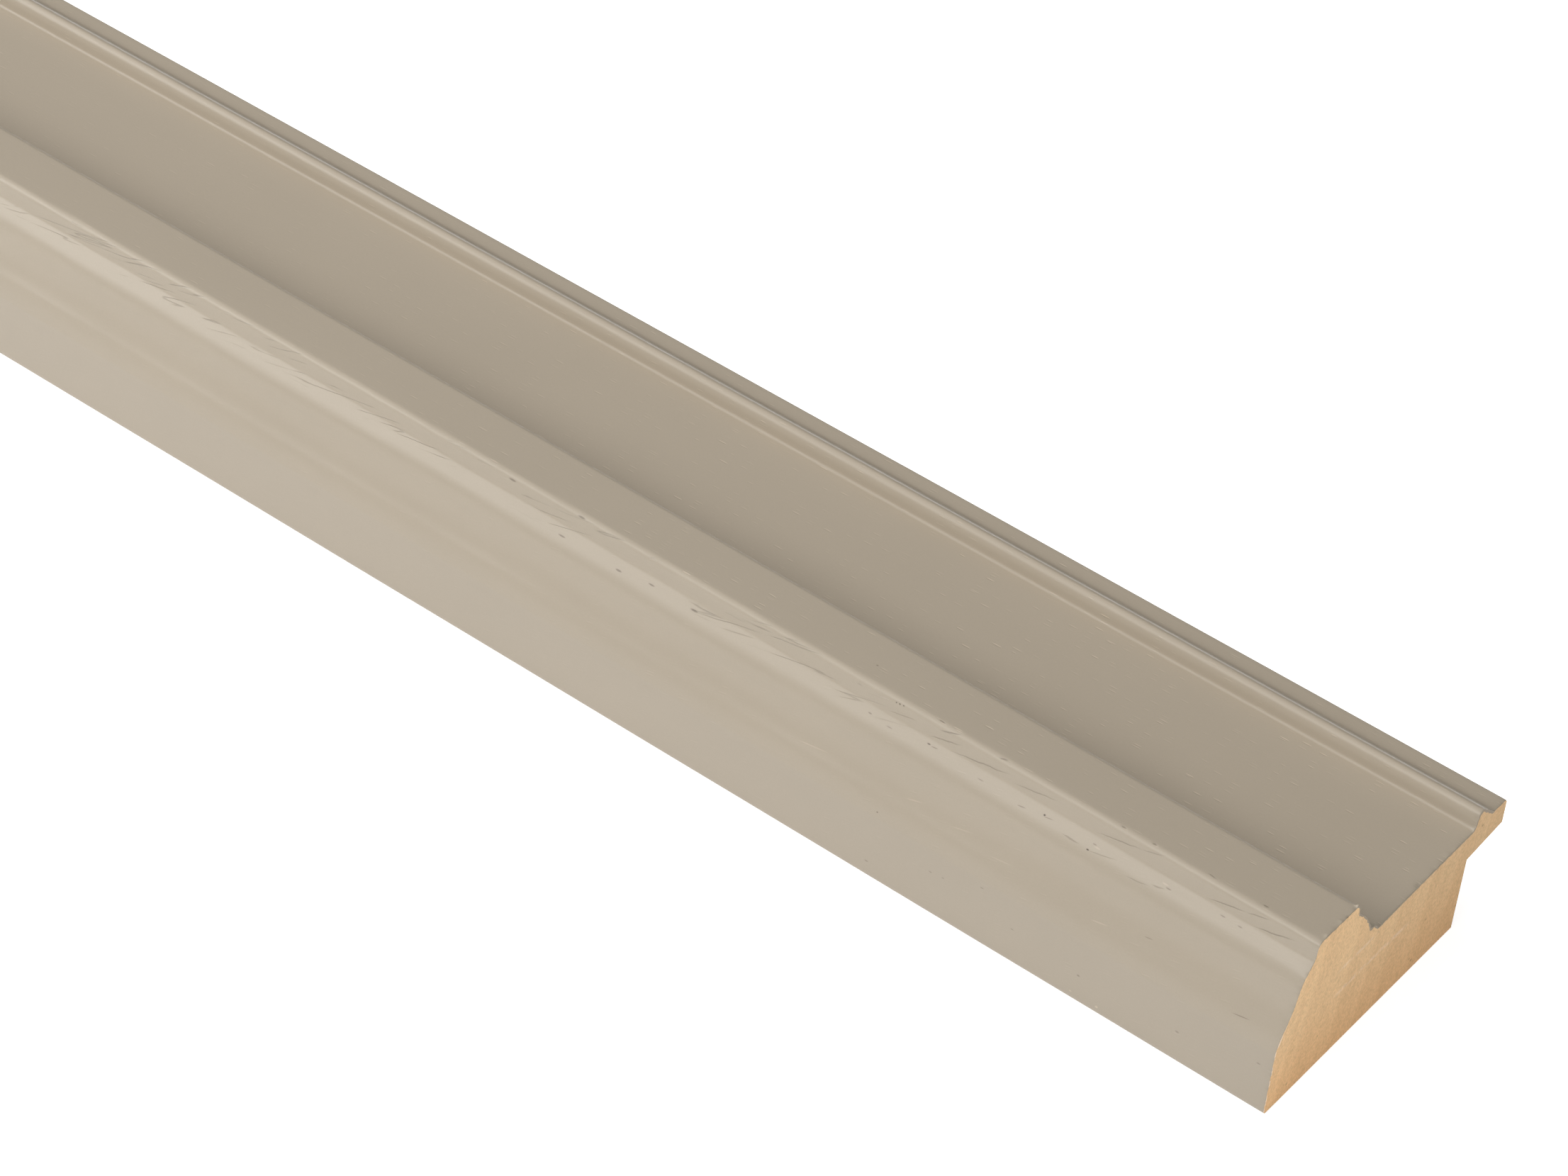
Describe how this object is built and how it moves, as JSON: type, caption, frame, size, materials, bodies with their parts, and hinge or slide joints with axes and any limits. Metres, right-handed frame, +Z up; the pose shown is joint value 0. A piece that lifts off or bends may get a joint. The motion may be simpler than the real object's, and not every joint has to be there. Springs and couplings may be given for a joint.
{
  "type": "picture frame moulding",
  "caption": "Straight stick of painted wood picture frame moulding with a tall ogee side, a flat panel, a fine bead at the sight edge and a rabbet for glass, picture and backing.",
  "frame": {"origin": "middle of the flat back, halfway along the stick and midway between the outer side and the sight edge, on the surface that the stick lies on", "axes": "+X along the stick towards the square cut seen in the picture, +Y across from the tall outer side to the sight edge, +Z up from the back to the moulded face"},
  "size_m": [1, 0.04, 0.0196],
  "materials": {
    "painted_wood": "satin taupe paint over open-pored wood, bare pale wood on the cut ends, back and rabbet"
  },
  "bodies": {
    "root": {"moulding": "painted_wood"}
  },
  "joints": []
}
